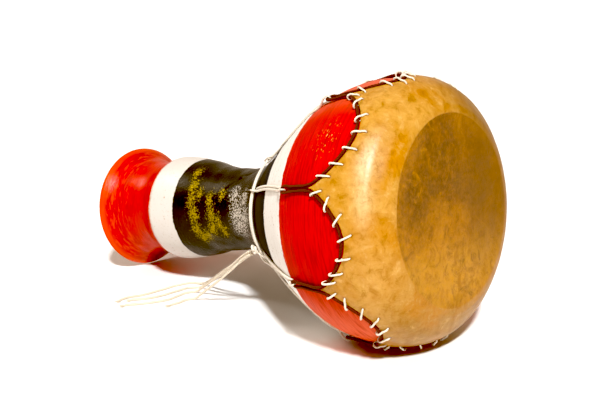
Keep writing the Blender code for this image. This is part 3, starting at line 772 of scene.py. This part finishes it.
# Where the pot is dabbed with mustard and where glints are painted on the neck and the bowl: (x, angle,
# half-length along, half-width in degrees).
CLAY_SPOTS = {
    "dab": [
        (100, 31, 4.8, 14.3), (104, 50, 5.4, 14.3), (105, 69, 5.4, 15.4), (108, 87, 6.0, 15.4),
        (108, 107, 6.0, 15.4), (111, 120, 5.4, 12.1), (112, 59, 4.2, 11.0), (124, 68, 5.4, 15.4),
        (126, 87, 6.0, 15.4), (125, 105, 6.0, 14.3), (117, 117, 5.4, 11.0), (133, 98, 5.4, 15.4),
        (136, 58, 4.2, 11.0), (137, 112, 4.8, 12.1),
    ],
    "glint": [(152, 62, 7, 14), (158, 82, 9, 18), (160, 98, 10, 16), (168, 90, 7, 18), (166, 66, 6, 12)],
    "painted_red_glint": [(295, 48, 7, 7)],
}
# Creases in the neck: each one's two ends as (x, angle), its width and its depth.
NECK_RADIUS = 38.0
NECK_CREASES = [
    ((139.0, 50.0), (149.0, 28.0), 1.6, 0.9),
    ((149.0, 28.0), (166.0, 18.0), 2.0, 0.5),
    ((160.0, 88.0), (180.0, 73.0), 1.4, 0.9),
    ((150.0, 120.0), (172.0, 112.0), 2.2, 0.6),
]


def clay_outside(angles):
    """Rings of points up the pot's outside, with how far along and how far round each point is."""
    stations = np.linspace(0.9, 343.8, OUTSIDE_RINGS)
    x, angle = np.meshgrid(stations, angles, indexing="ij")
    skin = ring_point(x, CLAY.radius(x), angle)
    ridges = 0.10 * np.sin(stations / 2.9 + 1.3 * np.sin(stations / 23.0))[:, None]
    lumps = 0.22 * noise_at(skin, 26.0) + 0.10 * noise_at(skin, 9.0, 3.0)
    neck = smooth((x - 92.0) / 20.0) * (1.0 - smooth((x - 170.0) / 12.0))
    lumps = lumps + neck * 0.55 * noise_at(skin, 13.0, 7.0)
    turn = (angle + 180.0) % 360.0 - 180.0
    dents = sum(deep * crease(x, turn, start, end, wide) for start, end, wide, deep in NECK_CREASES)
    calm = 1.0 - 0.8 * smooth((x - 180.0) / 10.0)
    rings = ring_point(x, CLAY.radius(x) + ridges * calm + lumps * calm - dents - 0.05, angle)
    return rings, x, angle


def clay_bore(angles):
    """Rings of points down the pot's inside, left rough by the hand."""
    stations = np.linspace(342.4, 1.4, BORE_RINGS)
    x, angle = np.meshgrid(stations, angles, indexing="ij")
    bore = ring_point(x, BORE.radius(x), angle)
    lumps = 0.5 * noise_at(bore, 14.0, 5.0) + 0.3 * np.sin(stations / 2.2)[:, None]
    return ring_point(x, BORE.radius(x) + lumps, angle)


def make_clay():
    """The pot: finely thrown outside, rounded lips, finger-dented neck and a rough bore."""
    angles = np.linspace(0.0, 360.0, CLAY_COLUMNS, endpoint=False)
    outside, x, angle = clay_outside(angles)
    lip = np.array([ring_point(at, radius, angles) for at, radius in MOUTH_LIP])
    foot = np.array([ring_point(at, radius, angles) for at, radius in FOOT_LIP])
    rings = np.concatenate([outside, lip, clay_bore(angles), foot])
    masks = {key: np.zeros(rings.shape[:2]) for key in ("inside", *CLAY_SPOTS)}
    masks["inside"][OUTSIDE_RINGS + 1 : OUTSIDE_RINGS + len(lip) + BORE_RINGS + 1] = 1.0
    for key, spots in CLAY_SPOTS.items():
        masks[key][:OUTSIDE_RINGS] = spot_share(x, angle, spots)
    faces = grid_faces(len(rings), CLAY_COLUMNS, wrap_rows=True)
    make_piece("clay_body", rings, faces, clay_paint(), ["clay_shell"], masks)


# Hide.


def hide_height(x):
    return HIDE_GAP_SKIRT + (HIDE_GAP_MOUTH - HIDE_GAP_SKIRT) * smooth((x - 331.0) / 8.0)


def hide_columns(per_lobe=92):
    """(x, angle) of the hide's edge all the way round, closer together at the corners."""
    share = (1.0 - np.cos(np.pi * np.arange(per_lobe) / per_lobe)) / 2
    edges = [edge_at(i, share) for i in range(len(CORNER_ANGLES))]
    return np.concatenate([x for x, _ in edges]), np.concatenate([a for _, a in edges])


def hide_rows(lift):
    """The hide's skirt and crown as rings of points, raised off its under side by this much.

    The second result says how far out each point is: its distance from the mouth's centre on the crown, and
    SKIRT_OUT or more on the skirt.
    """
    edge_x, edge_angle = hide_columns()
    share = np.linspace(0.0, 1.0, SKIRT_RINGS)[:, None] ** 1.15
    x = edge_x[None, :] + (SKIRT_END - edge_x[None, :]) * share
    angle = np.broadcast_to(edge_angle[None, :], x.shape)
    skirt = on_clay(x, angle, hide_height(x) + lift)
    over = HIDE_OVER - HIDE_THICK + lift
    radii = np.r_[np.linspace(71.2, 66.0, 8), np.linspace(64.0, 0.8, 44)]
    crown = CROWN_EDGE + [(CROWN_TOP, radius) for radius in radii]
    top = np.array([ring_point(at + over, radius, edge_angle) for at, radius in crown])
    top_out = np.repeat([[radius] for _, radius in crown], len(edge_x), axis=1)
    return np.concatenate([skirt, top]), np.concatenate([SKIRT_OUT + SKIRT_END - x, top_out])


def outward_from(points):
    """Unit directions straight out from the drum's bowed axis."""
    outward = points - ring_point(points[..., 0], 0.0, 0.0)
    outward[..., 0] = 0.0
    return outward / np.maximum(np.linalg.norm(outward, axis=-1), 1e-6)[..., None]


def near(points, spot, width):
    """1 at the spot, falling off within about this distance."""
    return np.exp(-((np.linalg.norm(points - spot, axis=-1) / width) ** 2))


def stitch_pull(points):
    """How much each point belongs to a stitch hole, and how far in the stitches pull it, in mm."""
    hole, pull = np.zeros(points.shape[:-1]), np.zeros(points.shape[:-1])
    for index in range(len(CORNER_ANGLES)):
        for spot in stitch_spots(index):
            height = hide_height(spot["hole"][0]) + HIDE_THICK
            at, edge = on_clay(*spot["hole"], height), on_clay(*spot["at"], height)
            hole = np.maximum(hole, near(points, at, 1.15))
            pull += 0.75 * near(points, at, 1.6) - 0.22 * near(points, at, 5.5)
            pull += 0.18 * near(points, (at + edge) / 2, 2.6)
    return hole, pull


def disc_tones(points):
    """How stained the disc over the mouth is at each point, and how pale painted light from the floor makes
    it below.
    """
    local = points - ring_point(np.full(points.shape[:-1], MOUTH_X), 0.0, 0.0)
    across, up = local[..., 1], local[..., 2]
    stain = np.zeros(across.shape)
    for y, z, wide, tall, strength in STAINS:
        stain += strength * np.exp(-(((across - y) / wide) ** 2) - (((up - z) / tall) ** 2))
    # The second is the painted floor light on the disc's lower part.
    return stain, np.exp(-(((up + 46.0) / 26.0) ** 2))


def closed_skin(outer, inner):
    """Points and faces of a skin's two sides, joined at the edge and each closed at its middle."""
    rows, columns = outer.shape[:2]
    bridge = (rows - 1) * columns
    faces = grid_faces(2 * rows, columns, wrap_rows=True)
    faces = [face for face in faces if not bridge <= min(face[0], face[2]) < bridge + columns]
    for number, start in enumerate((bridge, rows * columns)):
        hub = 2 * rows * columns + number
        turn = [[start + j, start + (j + 1) % columns, hub] for j in range(columns)]
        faces += [face[::-1] for face in turn] if number else turn
    points = np.concatenate([outer, inner[::-1]]).reshape(-1, 3)
    hubs = [side[-1].mean(axis=0) for side in (outer, inner)]
    return np.concatenate([points, np.array(hubs)]), faces


def both_sides(values):
    """A mask for a closed skin: the outer side, the inner side and the two middles."""
    return np.r_[values.ravel(), values[::-1].ravel(), [values[-1].mean()] * 2]


def make_hide():
    """One skin: puckered where the stitches pull it, tight over the rim, faintly uneven over the mouth."""
    outer, out = hide_rows(HIDE_THICK)
    inner, _ = hide_rows(0.0)
    crown = out < SKIRT_OUT / 2
    skirt = np.where(crown, 0.0, 1.0)
    outward = outward_from(outer)
    turn = np.degrees(np.arctan2(-outward[..., 1], outward[..., 2]))
    hole, pull = stitch_pull(outer)
    lumps = 0.16 * noise_at(outer, 20.0, 11.0) + 0.07 * noise_at(outer, 7.0, 2.0)
    outer = outer + outward * ((lumps - np.clip(pull, -0.5, 0.85)) * skirt)[..., None]
    fold = np.exp(-(((turn - 55.0) / 15.0) ** 4) - ((outer[..., 0] - 337.5) / 2.2) ** 2)
    outer = outer - outward * (0.35 * fold * skirt)[..., None]
    sink = 0.35 * smooth((MOUTH_EDGE - out) / 14.0)
    outer[..., 0] += np.where(crown, 0.10 * noise_at(outer, 24.0, 4.0) - sink, 0.0)
    stain, pale = disc_tones(outer)
    # How far each point lies on the underside, where the skin gets painted shade.
    under = smooth((np.abs(turn) - 105.0) / 45.0) * np.where(crown, smooth((out - 60.0) / 12.0), 1.0)
    # The pale patch on the shoulder, partly a painted highlight.
    pale_patch_and_highlight = spot_share(np.where(crown, MOUTH_X, outer[..., 0]), turn, PALE_PATCH_AND_HIGHLIGHT_SPOTS) * skirt
    masks = {"out": out, "hole": hole, "under": under, "stain": stain, "pale": pale, "pale_patch_and_highlight": pale_patch_and_highlight}
    masks = {key: both_sides(values) for key, values in masks.items()}
    points, faces = closed_skin(outer, inner)
    make_piece("hide", points, faces, hide_skin(), ["hide_head"], masks)


# Cords.


def ear_points(angle, tip):
    """The binder's way out to an ear's tip and back, from one lobe to the next."""
    mid = (tip + CORNER_X) / 2
    side = [
        (CORNER_X - 2.0, EAR_HALF_WIDTH, 2.1),
        (mid + 2.0, EAR_HALF_WIDTH, 1.7),
        (tip + 7.5, EAR_HALF_WIDTH + 0.1, 1.9),
        (tip + 4.2, EAR_EYE_HALF_WIDTH, 2.6),
        (tip + 1.6, EAR_EYE_HALF_WIDTH - 0.3, 2.95),
        (tip + 0.2, 1.1, EAR_TIP_HEIGHT),
    ]
    out = [on_clay(x, angle, height, -aside) for x, aside, height in side]
    back = [on_clay(x, angle, height, aside) for x, aside, height in side[::-1]]
    return [*out, on_clay(tip - 0.1, angle, EAR_TIP_HEIGHT), *back]


def make_binder():
    """One closed cord round every scallop, doubled into an ear at each corner, and unevenly worn."""
    points = []
    for i, corner in enumerate(CORNER_ANGLES):
        points += ear_points(corner, CORNER_X - EAR_LENGTHS[i])
        for share in np.linspace(0.02, 0.98, 26):
            x, angle = edge_at(i, share)
            tangent = edge_direction(i, share)
            x = x - BINDER_OUT * tangent[1]
            points.append(on_clay(x, angle, BINDER_HEIGHT, BINDER_OUT * tangent[0]))
    look = {"closed": True, "swell": 0.90 + 0.22 * noise_at(np.array(points), 8.0, 1.0)}
    slot, node = "dark_binder_cord", "edge_binder"
    make_rope("binder", points, BINDER_RADIUS, BINDER_PITCH, BINDER, slot, [node], **look)


def lifted_middle(first, second):
    """The point between two, raised off the clay by as much as the bowl bulges between them."""
    span = np.linalg.norm(second - first)
    middle = (first + second) / 2
    away = middle - ring_point(middle[0], 0.0, 0.0)
    return middle + away / np.linalg.norm(away) * (span * span / 720.0)


def stitch_steps(reach, stretch):
    """One stitch, from under the binder to its hole: (run from the binder, height, width)."""
    return [
        (1.6 * stretch, 0.62, 0.45),
        (-1.8 * stretch, 0.8, 0.5),
        (-2.1 * stretch, 2.4, 0.9),
        (-1.3 * stretch, 4.1, 1.0),
        (0.5 * stretch, 4.5, 1.0),
        (2.6 * stretch, 3.5, 1.0),
        (reach - 0.9, 2.9, 0.95),
        (reach, 1.6, 0.7),
        (reach - 0.3, 0.72, 0.45),
    ]


def make_stitches(index):
    """One lobe's whip stitching: over the binder, through the hide and back under both."""
    points, swell = [], []
    for spot in stitch_spots(index):
        (x0, a0), (x1, a1) = spot["at"], spot["hole"]
        steps = stitch_steps(spot["reach"], spot["stretch"])
        stitch = []
        for run, height, _ in steps:
            share = run / spot["reach"]
            stitch.append(on_clay(x0 + (x1 - x0) * share, a0 + (a1 - a0) * share, height))
        if points:
            points.append(lifted_middle(points[-1], stitch[0]))
            swell.append(steps[0][2])
        points += stitch
        swell += [width for *_, width in steps]
    name, node = f"stitches_{index + 1}", f"whip_stitch_{index + 1}"
    look = {"swell": swell, "step": 0.5}
    make_rope(name, points, SEWN_RADIUS, STITCH_PITCH, COTTON, "stitch_string", [node], **look)


def ring_x(angle):
    """Where the neck ring's first turn lies at this angle."""
    return RING_X - RING_PITCH * ((angle - KNOT_ANGLE) % 360.0) / 360.0


def make_tension_string(index):
    """A string looped through a binder ear and round the neck ring, its two sides lying on the bowl."""
    tip = CORNER_X - EAR_LENGTHS[index]
    ear_angle, ring_angle = CORNER_ANGLES[index], RING_ANGLES[index]
    ring = ring_x(ring_angle)
    straight = np.linspace(ring + 13.0, tip - 9.0, 6)
    route = [(x, -STRING_ASIDE, 1.3, 1.0) for x in straight]
    route += [(tip + past, aside, height, width) for past, aside, height, width in THROUGH_EAR]
    route += [(x, STRING_ASIDE, 1.3, 1.0) for x in straight[::-1]]
    route += [(ring + past, aside, height, width) for past, aside, height, width in ROUND_RING]
    points = []
    for x, aside, height, _ in route:
        share = min(1.0, (x - ring) / (tip - ring))
        points.append(on_clay(x, ring_angle + (ear_angle - ring_angle) * share, height, aside))
    look = {"swell": [width for *_, width in route], "closed": True}
    name, node = f"tension_{index + 1}", f"tension_string_{index + 1}"
    make_rope(name, points, STRING_RADIUS, STRING_PITCH, COTTON, "tension_string", [node], **look)


def make_neck_ring():
    """Two turns of string, with a small gap left at the knot."""
    turned = np.linspace(2.0, 718.0, 85)
    points = on_clay(RING_X - RING_PITCH * turned / 360.0, KNOT_ANGLE + turned, RING_HEIGHT)
    make_rope("ring_turns", points, STRING_RADIUS, STRING_PITCH, COTTON, "ring_string", ["neck_ring"])


def make_knot():
    """The overhand knot that closes the ring, lying flat over both turns."""
    base = on_clay(KNOT_X, KNOT_ANGLE, KNOT_HEIGHT)
    ahead = on_clay(KNOT_X + 0.5, KNOT_ANGLE, 0.0) - on_clay(KNOT_X - 0.5, KNOT_ANGLE, 0.0)
    aside = on_clay(KNOT_X, KNOT_ANGLE, 0.0, 0.5) - on_clay(KNOT_X, KNOT_ANGLE, 0.0, -0.5)
    ahead, aside = ahead / np.linalg.norm(ahead), aside / np.linalg.norm(aside)
    out = np.cross(aside, ahead)
    out *= np.sign(out @ (base - ring_point(base[0], 0.0, 0.0)))
    t = math.tau * np.arange(72)[:, None] / 72
    reach = KNOT_SCALE * (2.0 + np.cos(3 * t))
    points = base + reach * np.cos(2 * t) * ahead + reach * np.sin(2 * t) * aside
    points = points + KNOT_SCALE * np.sin(3 * t) * out
    look = {"closed": True, "step": 0.3}
    make_rope("knot", points, STRING_RADIUS, STRING_PITCH, COTTON, "knot_string", ["ring_knot"], **look)


def frayed_fibres(line):
    """Short routes of the loose fibres at a cut end, fanned out and sinking to the floor."""
    way = (line[-1] - line[-8]) * (1.0, 1.0, 0.0)
    way /= np.linalg.norm(way)
    aside = np.array([-way[1], way[0], 0.0])
    routes = []
    for k in range(FIBRES):
        turn = math.radians(FIBRE_FAN * (k - (FIBRES - 1) / 2))
        reach = 4.0 + 0.4 * ((k * 5) % FIBRES)
        heading = math.cos(turn) * way + math.sin(turn) * aside
        start = (line[-1] - 1.2 * way + 0.14 * (k - 3) * aside) * (1.0, 1.0, 0.0)
        drops = [(0.0, 1.0), (0.45, 0.75), (1.0, FIBRE_RADIUS + 0.05)]
        routes.append([start + heading * reach * share + (0.0, 0.0, z) for share, z in drops])
    return routes


def make_fray(name, line):
    """The loose fibres at a strand's cut end, as one piece."""
    verts, faces = np.zeros((0, 3)), []
    look = {"step": 0.6, "sides": 5, "groove": 0.0}
    for route in frayed_fibres(line):
        fibre, fibre_faces, _, _ = rope_shape(route, FIBRE_RADIUS, STRING_PITCH, **look)
        faces += [[corner + len(verts) for corner in face] for face in fibre_faces]
        verts = np.vstack([verts, fibre])
    # Painted shade over the whole of each loose fibre, as in a cord's grooves.
    masks = {"groove": np.full(len(verts), 0.6)}
    return make_piece(name, verts, faces, PAINTED_SHADE_COTTON, (), masks, True)


def make_tail(index):
    """A loose strand from the knot down to the floor and along it, its cut end frayed."""
    name, node = f"tail_{index + 1}", f"tail_strand_{index + 1}"
    facts = (STRING_RADIUS, STRING_PITCH, PAINTED_SHADE_COTTON, "tail_string", [node])
    piece, line = make_rope(name, TAIL_ROUTES[index], *facts, on_floor=True)
    fray = make_fray(f"fray_{index + 1}", line)
    lengths = np.linalg.norm(np.diff(line, axis=0), axis=1)
    facts = {"length": float(lengths.sum()) * MM, "diameter": 2 * STRING_RADIUS * MM, "far_end": "bare"}


# Stage.


def make_camera():
    """The camera at the angle that the drum is shown from."""
    data = bpy.data.cameras.new("camera")
    data.lens, data.sensor_width = CAMERA_LENS, SENSOR
    data.clip_start, data.clip_end = 0.01, 60.0
    camera = bpy.data.objects.new("camera", data)
    camera.location = FLOOR_MARK + CAMERA_PLACE
    camera.rotation_euler = (math.radians(90.0 - CAMERA_DOWN), 0.0, math.radians(CAMERA_TURN))
    bpy.context.scene.collection.objects.link(camera)
    bpy.context.scene.camera = camera


def towards(turn, height):
    """Unit direction to a light."""
    turn, height = math.radians(turn), math.radians(height)
    return Vector((math.sin(turn) * math.cos(height), -math.cos(turn) * math.cos(height), math.sin(height)))


def make_lamp(name, kind, turn, height, settings):
    """A light that shines on the drum from this direction."""
    data = bpy.data.lights.new(name, kind)
    for key, value in settings.items():
        setattr(data, key, value)
    lamp = bpy.data.objects.new(name, data)
    way = towards(turn, height)
    lamp.location = way * LAMP_DISTANCE + LAMP_AIM
    lamp.rotation_euler = way.to_track_quat("Z", "Y").to_euler()
    bpy.context.scene.collection.objects.link(lamp)


def make_studio():
    """A white sweep behind the drum and a warmer, dimmer room in front of it, on a plain pale backdrop."""
    world = bpy.data.worlds.new("studio")
    world.use_nodes = True
    p = Nodes(world.node_tree)
    way = p.node("VectorMath", {"operation": "DOT_PRODUCT"})
    p.put(way.inputs[0], p.node("TexCoord").outputs["Generated"])
    p.put(way.inputs[1], SWEEP_WAY)
    ramp = p.node("ValToRGB", Fac=way.outputs["Value"])
    ramp.color_ramp.interpolation = "EASE"
    for stop, position, colour in zip(ramp.color_ramp.elements, SWEEP_STOPS, (ROOM, SWEEP)):
        stop.position = position
        stop.color = (*colour, 1.0)
    seen = p.node("LightPath").outputs["Is Camera Ray"]
    colour = p.coats(ramp.outputs[0], (seen, BACKDROP))
    p.put(p.tree.nodes["Background"].inputs["Color"], colour)
    bpy.context.scene.world = world


def set_film():
    """Straight colour with crisp blacks and whites, as a bright product shot has."""
    view = bpy.context.scene.view_settings
    view.view_transform = "Standard"
    view.use_curve_mapping = True
    view.curve_mapping.black_level = BLACK_LEVEL
    view.curve_mapping.white_level = WHITE_LEVEL
    view.curve_mapping.update()


def make_floor():
    """A flat pale floor that reaches well past the view."""
    mesh = bpy.data.meshes.new("floor")
    corners = [(-1, -1), (1, -1), (1, 1), (-1, 1)]
    mesh.from_pydata([(FLOOR_REACH * x, FLOOR_REACH * y, 0) for x, y in corners], [], [(0, 1, 2, 3)])
    mesh.materials.append(floor_card())
    floor = bpy.data.objects.new("floor", mesh)
    bpy.context.scene.collection.objects.link(floor)


make_camera()
for strand in range(len(TAIL_ROUTES)):
    make_tail(strand)
make_clay()
make_hide()
make_binder()
for lobe in range(len(CORNER_ANGLES)):
    make_stitches(lobe)
    make_tension_string(lobe)
make_neck_ring()
make_knot()
make_floor()
for light, facts in LIGHTS.items():
    make_lamp(light, *facts)
make_studio()
set_film()
